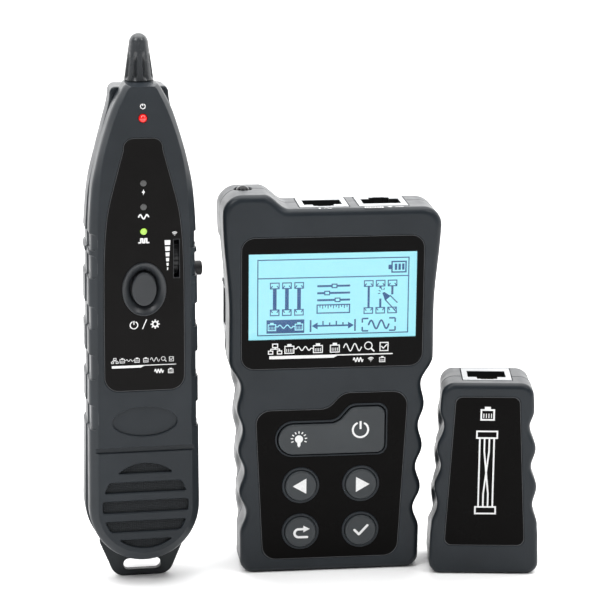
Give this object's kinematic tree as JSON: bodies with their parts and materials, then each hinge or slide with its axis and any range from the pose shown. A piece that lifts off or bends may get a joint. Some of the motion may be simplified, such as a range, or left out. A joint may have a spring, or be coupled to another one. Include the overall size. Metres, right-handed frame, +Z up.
{
  "type": "network cable tester kit",
  "caption": "Hand-held network cable tester kit: a display unit with keypad and modular jacks, a tracing probe receiver, and a small wiremap remote.",
  "frame": {"origin": "centre of the kit's box, on the surface that the units stand on", "axes": "+Z up, the fronts and keys face -Y to within 7 degrees, as the units are each turned a little on the table; the receiver stands at -X and the remote at +X"},
  "size_m": [0.1452, 0.0451, 0.1729],
  "materials": {
    "housing": "fine moulded texture, dark blue-grey",
    "key_plastic": "satin, slightly lighter than the housing",
    "panel_black": "satin black printed overlay",
    "window_glass": "clear acrylic with a black printed border",
    "lcd": "lit cyan display with dark blue dots",
    "backlight": "white light guide",
    "silicone": "soft",
    "black_plastic": "satin",
    "clear_lens": "clear epoxy dome",
    "jack_plastic": "light grey, satin",
    "contact_gold": "gold plated",
    "battery_wrap": "shrink sleeve",
    "board": "solder mask",
    "loop_plastic": "satin, darker than the housing",
    "tip_black": "semi-gloss conductive plastic",
    "ferrite": "sintered",
    "led_red": "lit red lens",
    "led_grey": "unlit grey lens",
    "led_green": "lit yellow-green lens",
    "cloth": "acoustic cloth",
    "screw_steel": "plated"
  },
  "bodies": {
    "emitter": {"emitter_front_shell": "housing", "emitter_back_shell": "housing", "emitter_screws": "screw_steel", "display_window": "window_glass", "lcd_module": "lcd", "lcd_backlight": "backlight", "keypad_plate": "panel_black", "keypad_membrane": "silicone", "emitter_pcb": "board", "jack_board": "board", "emitter_buzzer": "black_plastic", "flash_led": "clear_lens", "poe_jack": "jack_plastic", "length_jack": "jack_plastic", "emitter_top_contacts": "contact_gold", "side_jack": "jack_plastic", "loop_jack": "jack_plastic", "side_contacts": "contact_gold", "charge_port": "black_plastic", "emitter_battery": "battery_wrap"},
    "receiver": {"receiver_front_shell": "housing", "receiver_back_shell": "housing", "lanyard_loop": "loop_plastic", "receiver_faceplate": "panel_black", "probe_tip": "tip_black", "probe_antenna": "ferrite", "power_button_ring": "key_plastic", "power_led": "led_red", "ncv_led": "led_grey", "analog_led": "led_grey", "digital_led": "led_green", "wheel_potentiometer": "black_plastic", "speaker_cloth": "cloth", "receiver_speaker": "black_plastic", "receiver_pcb": "board", "receiver_batteries": "battery_wrap", "battery_contacts": "screw_steel", "receiver_screws": "screw_steel"},
    "remote": {"remote_front_shell": "housing", "remote_back_shell": "housing", "remote_label": "panel_black", "remote_jack": "jack_plastic", "remote_contacts": "contact_gold", "remote_pcb": "board", "remote_screws": "screw_steel"},
    "emitter_door": {"emitter_battery_door": "housing"},
    "rocker": {"rocker_key": "key_plastic"},
    "left_key": {"key_left": "key_plastic"},
    "right_key": {"key_right": "key_plastic"},
    "back_key": {"key_back": "key_plastic"},
    "ok_key": {"key_ok": "key_plastic"},
    "receiver_door": {"receiver_battery_door": "housing"},
    "power_button": {"receiver_power_button": "key_plastic"},
    "sensitivity_dial": {"sensitivity_wheel": "black_plastic"},
    "lamp_key": {"lamp_button": "loop_plastic"}
  },
  "joints": [
    {"name": "receiver_lift", "type": "slide", "parent": "emitter", "child": "receiver", "axis": [0, 0, 1], "range_m": [0, 0.13]},
    {"name": "remote_aside", "type": "slide", "parent": "emitter", "child": "remote", "axis": [1, 0, 0], "range_m": [0, 0.08]},
    {"name": "emitter_door_off", "type": "slide", "parent": "emitter", "child": "emitter_door", "axis": [-0.061, 0.9981, 0], "range_m": [0, 0.03]},
    {"name": "rocker_tilt", "type": "hinge", "parent": "emitter", "child": "rocker", "pos_m": [0.00882, -0.00629, 0.047], "axis": [0, 0, 1], "range_deg": [-2.5, 2.5], "stiffness_Nm_per_rad": 0.6},
    {"name": "left_key_press", "type": "slide", "parent": "emitter", "child": "left_key", "axis": [-0.061, 0.9981, 0], "range_m": [0, 0.0008], "stiffness_N_per_m": 2500},
    {"name": "right_key_press", "type": "slide", "parent": "emitter", "child": "right_key", "axis": [-0.061, 0.9981, 0], "range_m": [0, 0.0008], "stiffness_N_per_m": 2500},
    {"name": "back_key_press", "type": "slide", "parent": "emitter", "child": "back_key", "axis": [-0.061, 0.9981, 0], "range_m": [0, 0.0008], "stiffness_N_per_m": 2500},
    {"name": "ok_key_press", "type": "slide", "parent": "emitter", "child": "ok_key", "axis": [-0.061, 0.9981, 0], "range_m": [0, 0.0008], "stiffness_N_per_m": 2500},
    {"name": "receiver_door_off", "type": "slide", "parent": "receiver", "child": "receiver_door", "axis": [-0.1132, 0.9936, 0], "range_m": [0, 0.03]},
    {"name": "power_button_press", "type": "slide", "parent": "receiver", "child": "power_button", "axis": [-0.1132, 0.9936, 0], "range_m": [0, 0.0008], "stiffness_N_per_m": 2500},
    {"name": "lamp_key_press", "type": "slide", "parent": "receiver", "child": "lamp_key", "axis": [-0.9936, -0.1132, 0], "range_m": [0, 0.0008], "stiffness_N_per_m": 2500},
    {"name": "sensitivity_turn", "type": "hinge", "parent": "receiver", "child": "sensitivity_dial", "pos_m": [-0.04404, -0.01163, 0.10535], "axis": [0.9936, 0.1132, 0], "range_deg": [-135, 135]}
  ]
}
